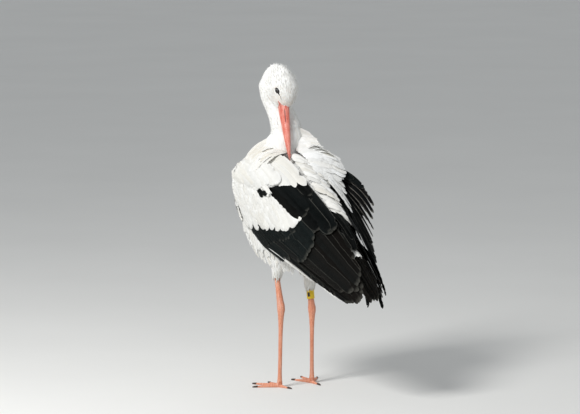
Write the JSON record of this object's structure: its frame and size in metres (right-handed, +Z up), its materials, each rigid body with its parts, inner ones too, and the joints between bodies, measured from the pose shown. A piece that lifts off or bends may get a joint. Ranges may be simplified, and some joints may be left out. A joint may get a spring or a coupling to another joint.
{
  "type": "white stork",
  "caption": "Life-size still model of a standing white stork that preens its back, neck bent over backwards, with folded wings and a plain leg ring.",
  "frame": {"origin": "middle of the underside of the bounding box, on the ground plane that both feet stand on", "axes": "+Z up, the breast faces -Y, the bird's left side is +X"},
  "size_m": [0.2762, 0.5416, 0.8997],
  "materials": {
    "white_plumage": "soft matt white feathers, faintly cream",
    "black_plumage": "black flight feathers with a faint green and violet gloss",
    "leg_skin": "scaly orange-red skin, satin",
    "bill_horn": "orange-red horn, satin gloss",
    "claw_horn": "dark horn",
    "eye": "wet dark brown eye",
    "ring_plastic": "yellow plastic ring with plain dark bars"
  },
  "bodies": {
    "root": {"trunk": "white_plumage", "neck_lower": "white_plumage", "neck_upper": "white_plumage", "head": "white_plumage", "bill_upper": "bill_horn", "bill_lower": "bill_horn", "eye_left": "eye", "eye_right": "eye", "leg_left_thigh": "white_plumage", "leg_left_shank": "leg_skin", "leg_left_tarsus": "leg_skin", "leg_left_foot": "leg_skin", "claw_left_inner": "claw_horn", "claw_left_middle": "claw_horn", "claw_left_outer": "claw_horn", "claw_left_hind": "claw_horn", "leg_right_thigh": "white_plumage", "leg_right_shank": "leg_skin", "leg_right_tarsus": "leg_skin", "leg_right_foot": "leg_skin", "claw_right_inner": "claw_horn", "claw_right_middle": "claw_horn", "claw_right_outer": "claw_horn", "claw_right_hind": "claw_horn", "leg_ring": "ring_plastic", "wing_left_scapulars": "white_plumage", "wing_left_tertials": "black_plumage", "wing_left_coverts": "white_plumage", "wing_left_greater_coverts": "black_plumage", "wing_left_secondaries": "black_plumage", "wing_left_primaries": "black_plumage", "wing_left_arm": "white_plumage", "wing_right_scapulars": "white_plumage", "wing_right_tertials": "black_plumage", "wing_right_coverts": "white_plumage", "wing_right_greater_coverts": "black_plumage", "wing_right_secondaries": "black_plumage", "wing_right_primaries": "black_plumage", "wing_right_arm": "white_plumage", "wing_right_swept": "white_plumage", "wing_right_fan": "black_plumage", "tail": "white_plumage"}
  },
  "joints": []
}
